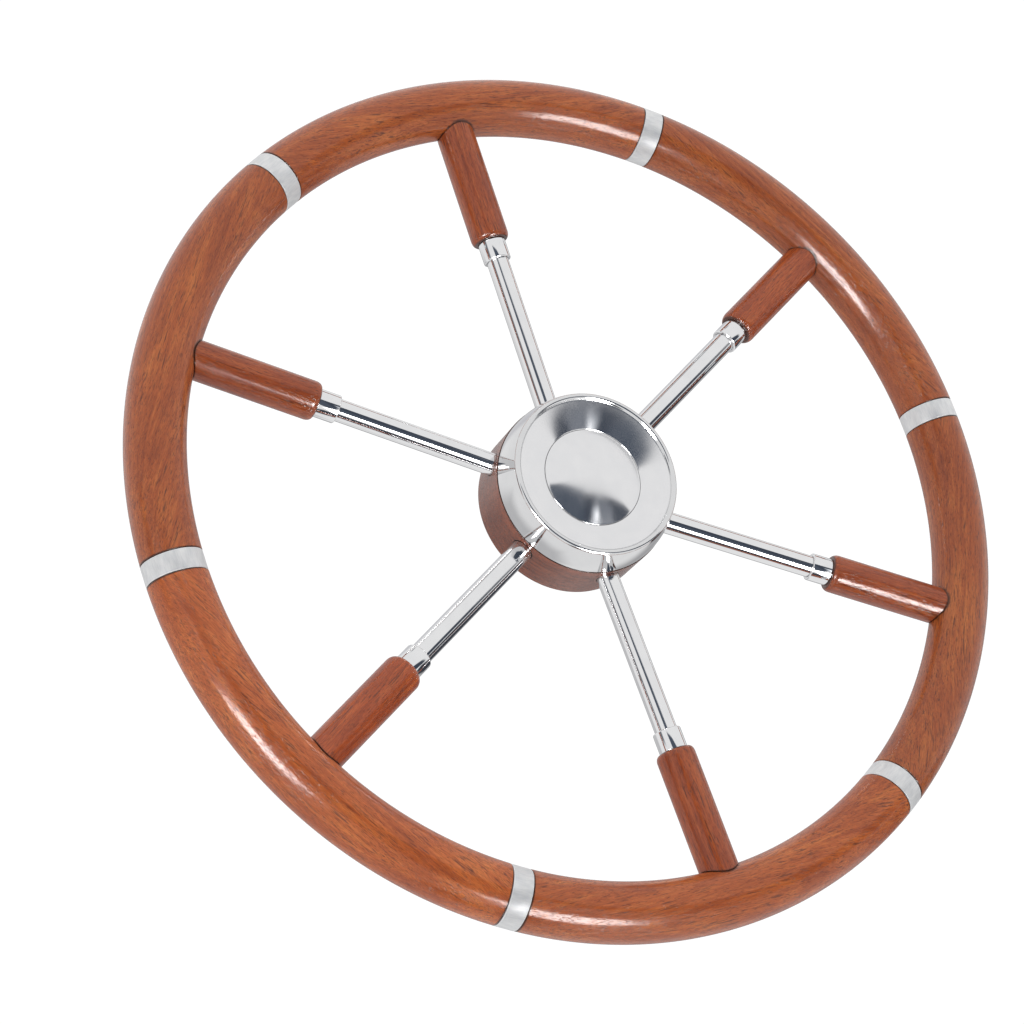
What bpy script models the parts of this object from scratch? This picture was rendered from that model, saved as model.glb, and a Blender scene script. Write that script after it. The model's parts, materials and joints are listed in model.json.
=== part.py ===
"""Six-spoke boat steering wheel: mahogany rim and handles, steel spokes, dished hub.

World frame, in metres. The origin is the centre of the hub's back face, on the shaft's axis.
+Y runs along the shaft, away from the helmsman. +Z is up, along one spoke. +X is to the right.
Hub pieces are turned about their local X axis, which points forwards, along world -Y.
Spoke pieces are turned about their local X axis, which points outwards, towards the rim.
"""

import math

import bmesh
import bpy
from mathutils import Matrix, Vector

# Whole wheel
OVERALL_DIAMETER = 0.610
SPOKE_COUNT = 6
FIRST_SPOKE_ANGLE = math.radians(90.0)
SPOKE_STEP = math.radians(360.0) / SPOKE_COUNT
GAP = 0.0003

# Rim: round wooden segments, rebated at both ends to pass under the bands
RIM_SECTION_RADIUS = 0.0195
RIM_RADIUS = OVERALL_DIAMETER / 2.0 - RIM_SECTION_RADIUS
RIM_PLANE_FORWARD = 0.034
BAND_WIDTH = 0.0133
BAND_THICKNESS = 0.0022
DOWEL_RADIUS = 0.006
DOWEL_LENGTH = 0.036
RIM_SIDES = 16
RIM_ENVELOPE_STEPS = 144
SEGMENT_STATIONS = (-26.0, -14.0, -3.0, 0.0, 3.0, 14.0, 26.0)

# Spokes: distances are measured from the shaft's axis along the spoke
DISH_ANGLE = math.radians(2.3)
ROD_RADIUS = 0.005
ROD_START = 0.015
ROD_END = 0.295
TUBE_RADIUS = 0.0075
TUBE_BORE_RADIUS = 0.0056
TUBE_START = 0.026
TUBE_END = 0.180
FERRULE_RADIUS = 0.0094
FERRULE_START = 0.171
FERRULE_SHOULDER = 0.185
FERRULE_END = 0.193
FERRULE_SPIGOT_RADIUS = 0.0078
FERRULE_CHAMFER = 0.0010
HANDLE_RADIUS = 0.013
HANDLE_START = FERRULE_SHOULDER + GAP
HANDLE_FACE_RADIUS = 0.0104
HANDLE_NOSE_LENGTH = 0.0045
HANDLE_NOSE_STEPS = 2
HANDLE_BLANK_END = 0.275
SPOKE_SIDES = 16
ROD_SIDES = 12

# Hub: distances are measured forwards from the hub's back face
BOSS_RADIUS = 0.036
BOSS_DEPTH = 0.0369
BORE_BACK_RADIUS = 0.009525
BORE_TAPER = 1.0 / 24.0
BORE_CHAMFER = 0.001
KEYWAY_WIDTH = 0.0048
KEYWAY_TOP = 0.0114
RING_RADIUS = 0.0612
RING_BACK = 0.0005
RING_FRONT = BOSS_DEPTH - GAP
DRILL_OVERRUN = 0.012
BOSS_SIDES = 32
HUB_SIDES = 40

# Hub shell: curved side, rounded lip, dished front and the cap's seat
SHELL_BACK_RADIUS = 0.0608
SHELL_SIDE_CURVE = 0.066
SHELL_SIDE_FRONT = 0.0572
SHELL_SIDE_STEPS = 3
SHELL_WALL = 0.003
DISH_THICKNESS = 0.0036
LIP_RADIUS = 0.002
LIP_CENTRE_FORWARD = 0.0577
LIP_CENTRE_RADIUS = 0.0554
LIP_START_ANGLE = 20.0
LIP_END_ANGLE = 130.0
LIP_STEPS = 4
DISH_OUTER_FORWARD = 0.0588
DISH_OUTER_RADIUS = 0.0537
DISH_INNER_FORWARD = 0.0524
DISH_INNER_RADIUS = 0.0345
CAP_SEAT_RADIUS = 0.0339
SEAT_OUTER_RADIUS = 0.0372
CAVITY_FORWARD = 0.0492

# Shell flange: a flat ring screwed to the boss, with an upstand that the cap rests on
FLANGE_BACK = BOSS_DEPTH + GAP
FLANGE_FRONT = 0.0404
FLANGE_BORE_RADIUS = 0.018
CAP_LEDGE_FORWARD = 0.0437
CAP_LEDGE_RADIUS = 0.0305
SEAT_BACK = FLANGE_FRONT + GAP

# Shell screws: countersunk, hexagon socket
SCREW_COUNT = 3
SCREW_CIRCLE_RADIUS = 0.025
SCREW_HEAD_RADIUS = 0.0046
SCREW_SHANK_RADIUS = 0.0024
SCREW_HEAD_RIM = 0.0004
SCREW_HEAD_DEPTH = 0.0026
SCREW_LENGTH = 0.014
SCREW_CLEARANCE = 0.00035
SOCKET_FLAT_RADIUS = 0.0015
SOCKET_DEPTH = 0.0018
HEXAGON_STEP = math.radians(60.0)

# Centre cap and its seal
CAP_RADIUS = 0.0335
CAP_BACK = CAP_LEDGE_FORWARD + GAP
CAP_EDGE_FORWARD = 0.0523
CAP_EDGE_ROUND = 0.0008
CAP_APEX = 0.0592
CAP_INNER_RADIUS = 0.0293
CAP_INNER_EDGE = 0.0503
CAP_INNER_APEX = 0.0570
GROOVE_BACK = 0.0465
GROOVE_FRONT = 0.0495
GROOVE_RADIUS = 0.0313
SEAL_CENTRE_RADIUS = 0.03255
SEAL_SECTION_RADIUS = 0.00105
SEAL_CENTRE_FORWARD = (GROOVE_BACK + GROOVE_FRONT) / 2.0
SEAL_SECTION_SIDES = 8
CAP_SIDES = 40
DOME_STEPS = 4

CUT_OVERRUN = 0.001
WELD_DISTANCE = 1e-6
SMOOTH_ANGLE = math.radians(32.0)
FULL_TURN = 2.0 * math.pi
QUARTER_TURN = math.radians(90.0)
FACING_FORWARD = (0.0, 0.0, -QUARTER_TURN)

# Materials: colour, roughness and metallic value
VARNISHED_MAHOGANY = {"colour": (0.42, 0.13, 0.05), "roughness": 0.28, "metallic": 0.0}
PLAIN_BEECH = {"colour": (0.62, 0.42, 0.25), "roughness": 0.7, "metallic": 0.0}
POLISHED_STEEL = {"colour": (0.80, 0.80, 0.81), "roughness": 0.08, "metallic": 1.0}
SATIN_STEEL = {"colour": (0.72, 0.72, 0.72), "roughness": 0.35, "metallic": 1.0}
MACHINED_STEEL = {"colour": (0.55, 0.56, 0.58), "roughness": 0.4, "metallic": 1.0}
BLACK_RUBBER = {"colour": (0.02, 0.02, 0.02), "roughness": 0.8, "metallic": 0.0}


def clear_scene():
    """Remove every object, so that the model starts from an empty scene."""
    for existing in list(bpy.data.objects):
        bpy.data.objects.remove(existing, do_unlink=True)


def make_material(name, look):
    """A Principled material of one colour."""
    material = bpy.data.materials.new(name)
    material.use_nodes = True
    shader = material.node_tree.nodes["Principled BSDF"]
    shader.inputs["Base Color"].default_value = (*look["colour"], 1.0)
    shader.inputs["Roughness"].default_value = look["roughness"]
    shader.inputs["Metallic"].default_value = look["metallic"]
    return material


def add_object(name, mesh, material=None):
    """Link a mesh to the scene as a named object."""
    model = bpy.data.objects.new(name, mesh)
    bpy.context.scene.collection.objects.link(model)
    if material is not None:
        mesh.materials.append(material)
    return model


def add_empty(name, location, rotation, order="XYZ"):
    """An empty that carries the pieces parented to it."""
    empty = bpy.data.objects.new(name, None)
    bpy.context.scene.collection.objects.link(empty)
    empty.rotation_mode = order
    empty.location = location
    empty.rotation_euler = rotation
    return empty


def finish_mesh(name, bm):
    """Weld, turn all faces outwards, shade smooth and return the mesh."""
    bmesh.ops.remove_doubles(bm, verts=bm.verts, dist=WELD_DISTANCE)
    bmesh.ops.recalc_face_normals(bm, faces=bm.faces)
    mesh = bpy.data.meshes.new(name)
    bm.to_mesh(mesh)
    bm.free()
    mesh.shade_smooth()
    mesh.set_sharp_from_angle(angle=SMOOTH_ANGLE)
    return mesh


def spin_outline(bm, outline, sides, placement=None):
    """Spin an outline of (distance, radius) points about the X axis, then move it to its place."""
    already_there = set(bm.verts)
    verts = [bm.verts.new((distance, 0.0, radius)) for distance, radius in outline]
    ends = list(zip(verts, verts[1:]))
    if outline[0][1] > 0.0:
        ends.append((verts[-1], verts[0]))
    edges = [bm.edges.new(pair) for pair in ends]
    bmesh.ops.spin(
        bm, geom=verts + edges, cent=(0, 0, 0), axis=(1, 0, 0),
        angle=FULL_TURN, steps=sides, use_merge=True,
    )
    if placement is not None:
        spun = [vert for vert in bm.verts if vert not in already_there]
        bmesh.ops.transform(bm, matrix=placement, verts=spun)


def turned_mesh(name, outline, sides):
    """A solid turned about X."""
    bm = bmesh.new()
    spin_outline(bm, outline, sides)
    return finish_mesh(name, bm)


def around(radius, sides):
    """The radius of a polygon whose flats clear a circle of the given radius."""
    return radius / math.cos(math.pi / sides)


def loft(bm, rings):
    """Skin a list of equal rings of points and cap both ends."""
    loops = [[bm.verts.new(point) for point in ring] for ring in rings]
    count = len(loops[0])
    for near, far in zip(loops, loops[1:]):
        for index in range(count):
            following = (index + 1) % count
            bm.faces.new((near[index], near[following], far[following], far[index]))
    bm.faces.new(loops[0])
    bm.faces.new(loops[-1])


def arc(centre, radius, start, end, steps):
    """Points on an arc in the (distance, radius) plane. Angle 0 points away from the axis."""
    points = []
    for step in range(steps + 1):
        angle = math.radians(start + (end - start) * step / steps)
        points.append((centre[0] + radius * math.sin(angle), centre[1] + radius * math.cos(angle)))
    return points


def cut(model, cutter):
    """Subtract a cutter from an object."""
    modifier = model.modifiers.new("cut_" + cutter.name, "BOOLEAN")
    modifier.operation = "DIFFERENCE"
    modifier.solver = "EXACT"
    modifier.object = cutter


def make_cutter(name, bm):
    """A hidden object that only cuts others."""
    cutter = add_object(name, finish_mesh(name, bm))
    cutter.hide_render = True
    cutter.display_type = "WIRE"
    return cutter


def spoke_angle(index):
    """The angle of a spoke in the wheel's plane, from +X towards +Z."""
    return FIRST_SPOKE_ANGLE - index * SPOKE_STEP


def spoke_placement(index):
    """Location, rotation and rotation order of a spoke's axis."""
    axis_forward = RIM_PLANE_FORWARD - RIM_RADIUS * math.tan(DISH_ANGLE)
    return (0.0, -axis_forward, 0.0), (0.0, -spoke_angle(index), -DISH_ANGLE), "ZYX"


def spoke_matrix(index):
    """The matrix that takes a spoke's local coordinates to the world."""
    location, rotation, _ = spoke_placement(index)
    turn = Matrix.Rotation(rotation[1], 4, "Y") @ Matrix.Rotation(rotation[2], 4, "Z")
    return Matrix.Translation(location) @ turn


def spoke_cutter(name, radius, start, end, sides):
    """Six straight bores, one along each spoke's axis."""
    bm = bmesh.new()
    bore = around(radius, sides)
    outline = [(start, 0.0), (start, bore), (end, bore), (end, 0.0)]
    for index in range(SPOKE_COUNT):
        spin_outline(bm, outline, sides, spoke_matrix(index))
    return make_cutter(name, bm)


def joint_matrix(index):
    """A frame on a rim joint: X outwards, Z along the rim, in world coordinates."""
    angle = spoke_angle(index) - SPOKE_STEP / 2.0
    turn = Matrix.Rotation(-angle, 4, "Y")
    outwards = Matrix.Translation((RIM_RADIUS, 0.0, 0.0))
    return Matrix.Translation((0.0, -RIM_PLANE_FORWARD, 0.0)) @ turn @ outwards


def dowel_outline(radius, half_length):
    """Outline of a plain dowel about X, centred on the origin."""
    return [(-half_length, 0.0), (-half_length, radius), (half_length, radius), (half_length, 0.0)]


def dowel_cutter():
    """Six straight dowel holes, one across each rim joint."""
    bm = bmesh.new()
    lay_along_rim = Matrix.Rotation(QUARTER_TURN, 4, "Y")
    outline = dowel_outline(around(DOWEL_RADIUS + GAP, ROD_SIDES), DOWEL_LENGTH / 2.0 + GAP)
    for index in range(SPOKE_COUNT):
        spin_outline(bm, outline, ROD_SIDES, joint_matrix(index) @ lay_along_rim)
    return make_cutter("dowel_holes", bm)


def rim_cutter():
    """A ring slightly fatter than the rim, which copes the handles' outer ends."""
    bm = bmesh.new()
    radius = around(RIM_SECTION_RADIUS + GAP, RIM_SIDES)
    centre = (0.0, around(RIM_RADIUS, RIM_ENVELOPE_STEPS))
    outline = arc(centre, radius, 0.0, 360.0, RIM_SIDES)[:-1]
    turn_forward = Matrix.Rotation(-QUARTER_TURN, 4, "Z")
    place = Matrix.Translation((0.0, -RIM_PLANE_FORWARD, 0.0)) @ turn_forward
    spin_outline(bm, outline, RIM_ENVELOPE_STEPS, place)
    return make_cutter("rim_envelope", bm)


def rim_ring(angle, along, radius):
    """A round section of the rim, in a plane parallel to the one at the given angle."""
    outward = Vector((math.cos(angle), 0.0, math.sin(angle)))
    tangent = Vector((-math.sin(angle), 0.0, math.cos(angle)))
    centre = outward * math.sqrt(RIM_RADIUS ** 2 - along ** 2) + tangent * along
    ring = []
    for side in range(RIM_SIDES):
        turn = FULL_TURN * side / RIM_SIDES
        ring.append(centre + radius * (math.cos(turn) * outward + math.sin(turn) * Vector((0, 1, 0))))
    return ring


def rim_segment_mesh():
    """One sixth of the rim, centred on +X, with a rebate at each end."""
    rebate_radius = RIM_SECTION_RADIUS - BAND_THICKNESS - GAP
    shoulder = BAND_WIDTH / 2.0 + GAP
    half_step = SPOKE_STEP / 2.0
    rings = [
        rim_ring(-half_step, GAP / 2.0, rebate_radius),
        rim_ring(-half_step, shoulder, rebate_radius),
        rim_ring(-half_step, shoulder, RIM_SECTION_RADIUS),
    ]
    for station in SEGMENT_STATIONS:
        rings.append(rim_ring(math.radians(station), 0.0, RIM_SECTION_RADIUS))
    rings.append(rim_ring(half_step, -shoulder, RIM_SECTION_RADIUS))
    rings.append(rim_ring(half_step, -shoulder, rebate_radius))
    rings.append(rim_ring(half_step, -GAP / 2.0, rebate_radius))
    bm = bmesh.new()
    loft(bm, rings)
    return finish_mesh("rim_segment", bm)


def rim_band_outline():
    """Section of a band: a short straight sleeve about the rim's centre line."""
    half_width = BAND_WIDTH / 2.0
    inner = around(RIM_SECTION_RADIUS - BAND_THICKNESS, RIM_SIDES)
    return [
        (-half_width, inner), (-half_width, RIM_SECTION_RADIUS),
        (half_width, RIM_SECTION_RADIUS), (half_width, inner),
    ]


def build_rim(wood, metal, dowel_wood, rod_bores):
    """Segments, bands and dowels."""
    dowel_holes = dowel_cutter()
    segment_mesh = rim_segment_mesh()
    segment_mesh.materials.append(wood)
    band_mesh = turned_mesh("rim_band", rim_band_outline(), RIM_SIDES)
    band_mesh.materials.append(metal)
    dowel_mesh = turned_mesh("rim_dowel", dowel_outline(DOWEL_RADIUS, DOWEL_LENGTH / 2.0), ROD_SIDES)
    dowel_mesh.materials.append(dowel_wood)
    for index in range(SPOKE_COUNT):
        number = str(index + 1)
        segment = add_object("rim_segment_" + number, segment_mesh)
        segment.location = (0.0, -RIM_PLANE_FORWARD, 0.0)
        segment.rotation_euler = (0.0, -spoke_angle(index), 0.0)
        cut(segment, dowel_holes)
        cut(segment, rod_bores)
        joint_angle = spoke_angle(index) - SPOKE_STEP / 2.0
        joint = add_empty("rim_joint_" + number, joint_matrix(index).translation,
                          (0.0, QUARTER_TURN - joint_angle, 0.0))
        band = add_object("rim_band_" + number, band_mesh)
        band.parent = joint
        dowel = add_object("rim_dowel_" + number, dowel_mesh)
        dowel.parent = joint


def ferrule_outline():
    """Stepped collar: the tube enters one end, its spigot enters the handle."""
    tube_bore = around(TUBE_RADIUS + GAP, SPOKE_SIDES)
    rod_bore = around(ROD_RADIUS + GAP, SPOKE_SIDES)
    return [
        (FERRULE_START, tube_bore),
        (FERRULE_START, FERRULE_RADIUS - FERRULE_CHAMFER),
        (FERRULE_START + FERRULE_CHAMFER, FERRULE_RADIUS),
        (FERRULE_SHOULDER, FERRULE_RADIUS),
        (FERRULE_SHOULDER, FERRULE_SPIGOT_RADIUS),
        (FERRULE_END, FERRULE_SPIGOT_RADIUS),
        (FERRULE_END, rod_bore),
        (TUBE_END + GAP, rod_bore),
        (TUBE_END + GAP, tube_bore),
    ]


def handle_outline():
    """Wooden handle: rounded nose, straight grip, bored for the rod and the ferrule's spigot."""
    spigot_bore = around(FERRULE_SPIGOT_RADIUS + GAP, SPOKE_SIDES)
    rod_bore = around(ROD_RADIUS + GAP, SPOKE_SIDES)
    nose = []
    for step in range(HANDLE_NOSE_STEPS + 1):
        turn = QUARTER_TURN * step / HANDLE_NOSE_STEPS
        along = HANDLE_NOSE_LENGTH * (1.0 - math.cos(turn))
        rise = (HANDLE_RADIUS - HANDLE_FACE_RADIUS) * math.sin(turn)
        nose.append((HANDLE_START + along, HANDLE_FACE_RADIUS + rise))
    return [
        (HANDLE_START, spigot_bore),
        *nose,
        (HANDLE_BLANK_END, HANDLE_RADIUS),
        (HANDLE_BLANK_END, rod_bore),
        (FERRULE_END + GAP, rod_bore),
        (FERRULE_END + GAP, spigot_bore),
    ]


def tube_outline():
    """Plain tube."""
    return [
        (TUBE_START, TUBE_BORE_RADIUS), (TUBE_START, TUBE_RADIUS),
        (TUBE_END, TUBE_RADIUS), (TUBE_END, TUBE_BORE_RADIUS),
    ]


def rod_outline():
    """Plain rod."""
    return [(ROD_START, 0.0), (ROD_START, ROD_RADIUS), (ROD_END, ROD_RADIUS), (ROD_END, 0.0)]


def build_spokes(wood, polished_steel, rod_steel):
    """Tube, rod, ferrule and handle of each spoke, on one slightly raked axis."""
    rim_envelope = rim_cutter()
    kinds = [
        ("spoke_tube", tube_outline(), SPOKE_SIDES, polished_steel, []),
        ("spoke_rod", rod_outline(), ROD_SIDES, rod_steel, []),
        ("spoke_ferrule", ferrule_outline(), SPOKE_SIDES, polished_steel, []),
        ("spoke_handle", handle_outline(), SPOKE_SIDES, wood, [rim_envelope]),
    ]
    meshes = {}
    for name, outline, sides, material, _ in kinds:
        meshes[name] = turned_mesh(name, outline, sides)
        meshes[name].materials.append(material)
    for index in range(SPOKE_COUNT):
        number = str(index + 1)
        location, rotation, order = spoke_placement(index)
        axis = add_empty("spoke_axis_" + number, location, rotation, order)
        for name, _, _, _, cutters in kinds:
            piece = add_object(name + "_" + number, meshes[name])
            piece.parent = axis
            for cutter in cutters:
                cut(piece, cutter)


def boss_outline():
    """Steel core with a tapered shaft bore, wide at the back."""
    front_bore = BORE_BACK_RADIUS - BORE_TAPER * BOSS_DEPTH
    chamfer_bore = BORE_BACK_RADIUS - BORE_TAPER * BORE_CHAMFER
    return [
        (0.0, BORE_BACK_RADIUS + BORE_CHAMFER),
        (0.0, BOSS_RADIUS),
        (BOSS_DEPTH, BOSS_RADIUS),
        (BOSS_DEPTH, front_bore),
        (BORE_CHAMFER, chamfer_bore),
    ]


def keyway_cutter():
    """A straight slot along one side of the shaft bore, towards +X."""
    bm = bmesh.new()
    bmesh.ops.create_cube(bm, size=1.0)
    length = BOSS_DEPTH + 2.0 * CUT_OVERRUN
    inner = BORE_BACK_RADIUS / 2.0
    scale = Matrix.Diagonal((KEYWAY_TOP - inner, length, KEYWAY_WIDTH, 1.0))
    shift = Matrix.Translation(((KEYWAY_TOP + inner) / 2.0, -BOSS_DEPTH / 2.0, 0.0))
    bmesh.ops.transform(bm, matrix=shift @ scale, verts=bm.verts)
    return make_cutter("keyway", bm)


def ring_outline():
    """Wooden ring around the boss."""
    bore = around(BOSS_RADIUS + GAP, HUB_SIDES)
    return [
        (RING_BACK, bore), (RING_BACK, RING_RADIUS),
        (RING_FRONT, RING_RADIUS), (RING_FRONT, bore),
    ]


def shell_side():
    """The shell's side: a shallow arc that starts square to the wooden ring."""
    points = []
    for step in range(SHELL_SIDE_STEPS + 1):
        forward = BOSS_DEPTH + (SHELL_SIDE_FRONT - BOSS_DEPTH) * step / SHELL_SIDE_STEPS
        rise = forward - BOSS_DEPTH
        fall = SHELL_SIDE_CURVE - math.sqrt(SHELL_SIDE_CURVE ** 2 - rise ** 2)
        points.append((forward, SHELL_BACK_RADIUS - fall))
    return points


def shell_outline():
    """Side, lip, dish and cap seat, with the hollow behind the dish."""
    lip_centre = (LIP_CENTRE_FORWARD, LIP_CENTRE_RADIUS)
    lip = arc(lip_centre, LIP_RADIUS, LIP_START_ANGLE, LIP_END_ANGLE, LIP_STEPS)
    return shell_side() + lip + [
        (DISH_OUTER_FORWARD, DISH_OUTER_RADIUS),
        (DISH_INNER_FORWARD, DISH_INNER_RADIUS),
        (DISH_INNER_FORWARD - (DISH_INNER_RADIUS - CAP_SEAT_RADIUS), CAP_SEAT_RADIUS),
        (SEAT_BACK, CAP_SEAT_RADIUS),
        (SEAT_BACK, SEAT_OUTER_RADIUS),
        (CAVITY_FORWARD, SEAT_OUTER_RADIUS),
        (DISH_OUTER_FORWARD - DISH_THICKNESS, DISH_OUTER_RADIUS),
        (BOSS_DEPTH, SHELL_BACK_RADIUS - SHELL_WALL),
    ]


def flange_outline():
    """Flat ring with an upstand that fits inside the shell's seat."""
    upstand_radius = CAP_SEAT_RADIUS - GAP
    return [
        (FLANGE_BACK, FLANGE_BORE_RADIUS),
        (FLANGE_BACK, SEAT_OUTER_RADIUS),
        (FLANGE_FRONT, SEAT_OUTER_RADIUS),
        (FLANGE_FRONT, upstand_radius),
        (CAP_LEDGE_FORWARD, upstand_radius),
        (CAP_LEDGE_FORWARD, CAP_LEDGE_RADIUS),
        (FLANGE_FRONT, CAP_LEDGE_RADIUS),
        (FLANGE_FRONT, FLANGE_BORE_RADIUS),
    ]


def screw_hole_outline():
    """Countersunk clearance hole: the head's top is at distance 0 and the shank beyond it."""
    head = SCREW_HEAD_RADIUS + SCREW_CLEARANCE
    shank = SCREW_SHANK_RADIUS + SCREW_CLEARANCE
    bottom = SCREW_LENGTH + SCREW_CLEARANCE
    return [
        (-CUT_OVERRUN, 0.0),
        (-CUT_OVERRUN, head),
        (SCREW_HEAD_RIM + SCREW_CLEARANCE, head),
        (SCREW_HEAD_DEPTH + SCREW_CLEARANCE, shank),
        (bottom, shank),
        (bottom, 0.0),
    ]


def screw_matrix(index):
    """Places a screw's local X along world +Y, with its head flush with the flange's front."""
    angle = FULL_TURN * index / SCREW_COUNT
    centre = Vector((math.cos(angle), 0.0, math.sin(angle))) * SCREW_CIRCLE_RADIUS
    centre.y = -FLANGE_FRONT
    return Matrix.Translation(centre) @ Matrix.Rotation(QUARTER_TURN, 4, "Z")


def screw_ring(distance, radius, hexagon=False):
    """Points around a screw's axis: a circle, or a hexagon with the same number of points."""
    ring = []
    for side in range(ROD_SIDES):
        turn = FULL_TURN * side / ROD_SIDES
        reach = radius
        if hexagon:
            from_flat = (turn + HEXAGON_STEP / 2.0) % HEXAGON_STEP - HEXAGON_STEP / 2.0
            reach = radius / math.cos(from_flat)
        ring.append(Vector((distance, reach * math.cos(turn), reach * math.sin(turn))))
    return ring


def screw_mesh():
    """Countersunk socket screw."""
    rings = [
        screw_ring(SOCKET_DEPTH, SOCKET_FLAT_RADIUS, hexagon=True),
        screw_ring(0.0, SOCKET_FLAT_RADIUS, hexagon=True),
        screw_ring(0.0, SCREW_HEAD_RADIUS),
        screw_ring(SCREW_HEAD_RIM, SCREW_HEAD_RADIUS),
        screw_ring(SCREW_HEAD_DEPTH, SCREW_SHANK_RADIUS),
        screw_ring(SCREW_LENGTH, SCREW_SHANK_RADIUS),
    ]
    bm = bmesh.new()
    loft(bm, rings)
    return finish_mesh("shell_screw", bm)


def screw_cutter():
    """Countersunk clearance holes for the shell's screws."""
    bm = bmesh.new()
    for index in range(SCREW_COUNT):
        spin_outline(bm, screw_hole_outline(), ROD_SIDES, screw_matrix(index))
    return make_cutter("screw_holes", bm)


def dome(edge, apex, steps):
    """Points on a spherical dome, from its edge to its apex on the axis."""
    height = apex - edge[0]
    radius = (edge[1] ** 2 + height ** 2) / (2.0 * height)
    limit = math.asin(edge[1] / radius)
    points = []
    for step in range(steps):
        angle = limit * (1.0 - step / steps)
        points.append((apex - radius * (1.0 - math.cos(angle)), radius * math.sin(angle)))
    points.append((apex, 0.0))
    return points


def cap_outline():
    """Thin domed cap with a grooved skirt, open at the back."""
    edge = (CAP_EDGE_FORWARD + CAP_EDGE_ROUND, CAP_RADIUS - CAP_EDGE_ROUND)
    outside = dome(edge, CAP_APEX, DOME_STEPS)
    inside = dome((CAP_INNER_EDGE, CAP_INNER_RADIUS), CAP_INNER_APEX, DOME_STEPS)
    skirt = [
        (CAP_EDGE_FORWARD, CAP_RADIUS),
        (GROOVE_FRONT, CAP_RADIUS),
        (GROOVE_FRONT, GROOVE_RADIUS),
        (GROOVE_BACK, GROOVE_RADIUS),
        (GROOVE_BACK, CAP_RADIUS),
        (CAP_BACK, CAP_RADIUS),
        (CAP_BACK, CAP_INNER_RADIUS),
    ]
    return outside[::-1] + skirt + inside


def build_hub(wood, machined_steel, polished_steel, rubber, rod_bores):
    """Boss, wooden ring, shell, flange, screws, cap and seal."""
    drill_end = RING_RADIUS + DRILL_OVERRUN
    tube_bores = spoke_cutter("tube_bores", TUBE_RADIUS + GAP, TUBE_START - GAP, drill_end, SPOKE_SIDES)
    keyway = keyway_cutter()
    screw_holes = screw_cutter()
    boss = add_object("hub_boss", turned_mesh("hub_boss", boss_outline(), BOSS_SIDES), machined_steel)
    for cutter in (tube_bores, rod_bores, keyway, screw_holes):
        cut(boss, cutter)
    ring = add_object("hub_ring", turned_mesh("hub_ring", ring_outline(), HUB_SIDES), wood)
    cut(ring, tube_bores)
    shell = add_object("hub_shell", turned_mesh("hub_shell", shell_outline(), HUB_SIDES), polished_steel)
    flange_mesh = turned_mesh("shell_flange", flange_outline(), HUB_SIDES)
    flange = add_object("shell_flange", flange_mesh, machined_steel)
    cut(flange, screw_holes)
    cap = add_object("centre_cap", turned_mesh("centre_cap", cap_outline(), CAP_SIDES), polished_steel)
    seal_centre = (SEAL_CENTRE_FORWARD, SEAL_CENTRE_RADIUS)
    section = arc(seal_centre, SEAL_SECTION_RADIUS, 0.0, 360.0, SEAL_SECTION_SIDES)
    seal = add_object("cap_seal", turned_mesh("cap_seal", section[:-1], CAP_SIDES), rubber)
    for piece in (boss, ring, shell, flange, cap, seal):
        piece.rotation_euler = FACING_FORWARD
    mesh = screw_mesh()
    mesh.materials.append(machined_steel)
    for index in range(SCREW_COUNT):
        screw = add_object("shell_screw_" + str(index + 1), mesh)
        screw.matrix_world = screw_matrix(index)


def main():
    clear_scene()
    varnished_wood = make_material("varnished_mahogany", VARNISHED_MAHOGANY)
    plain_wood = make_material("dowel_wood", PLAIN_BEECH)
    polished_steel = make_material("polished_steel", POLISHED_STEEL)
    satin_steel = make_material("satin_steel", SATIN_STEEL)
    machined_steel = make_material("machined_steel", MACHINED_STEEL)
    rubber = make_material("seal_rubber", BLACK_RUBBER)
    rod_bores = spoke_cutter("rod_bores", ROD_RADIUS + GAP, ROD_START - GAP, ROD_END + GAP, ROD_SIDES)
    build_rim(varnished_wood, satin_steel, plain_wood, rod_bores)
    build_spokes(varnished_wood, polished_steel, machined_steel)
    build_hub(varnished_wood, machined_steel, polished_steel, rubber, rod_bores)


main()
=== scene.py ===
import json
import math
import random

import bmesh
import bpy
from mathutils import Matrix, Vector


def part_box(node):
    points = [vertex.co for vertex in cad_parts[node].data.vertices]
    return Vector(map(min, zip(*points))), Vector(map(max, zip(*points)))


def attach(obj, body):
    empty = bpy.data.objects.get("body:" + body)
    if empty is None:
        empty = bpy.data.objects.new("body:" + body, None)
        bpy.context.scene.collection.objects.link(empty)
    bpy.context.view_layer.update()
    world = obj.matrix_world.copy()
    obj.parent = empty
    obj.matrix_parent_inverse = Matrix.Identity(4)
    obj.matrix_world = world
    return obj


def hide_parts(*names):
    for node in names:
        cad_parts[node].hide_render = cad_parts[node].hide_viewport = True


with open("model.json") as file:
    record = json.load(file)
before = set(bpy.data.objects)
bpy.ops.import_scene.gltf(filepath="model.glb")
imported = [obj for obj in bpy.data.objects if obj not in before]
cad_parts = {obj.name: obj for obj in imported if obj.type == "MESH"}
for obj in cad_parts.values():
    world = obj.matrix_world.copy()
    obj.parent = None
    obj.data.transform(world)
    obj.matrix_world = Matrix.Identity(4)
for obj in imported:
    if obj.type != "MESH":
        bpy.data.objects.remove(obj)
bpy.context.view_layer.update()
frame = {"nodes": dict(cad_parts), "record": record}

# Boat steering wheel, in the CAD's frame: metres, +Y along the shaft away from the helmsman, +Z up.
# Every visible CAD node but the rods and dowels gets a finer piece, made from the node's own sizes.

SHAFT = Vector()
FORWARD = Vector((0.0, -1.0, 0.0))
UP = Vector((0.0, 0.0, 1.0))
FULL_TURN = 2.0 * math.pi
QUARTER_TURN = math.radians(90.0)
SPOKES = range(1, 7)
MILLIMETRE = 0.001
WELD_DISTANCE = 1e-7
SHARP_ANGLE = math.radians(34.0)


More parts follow.
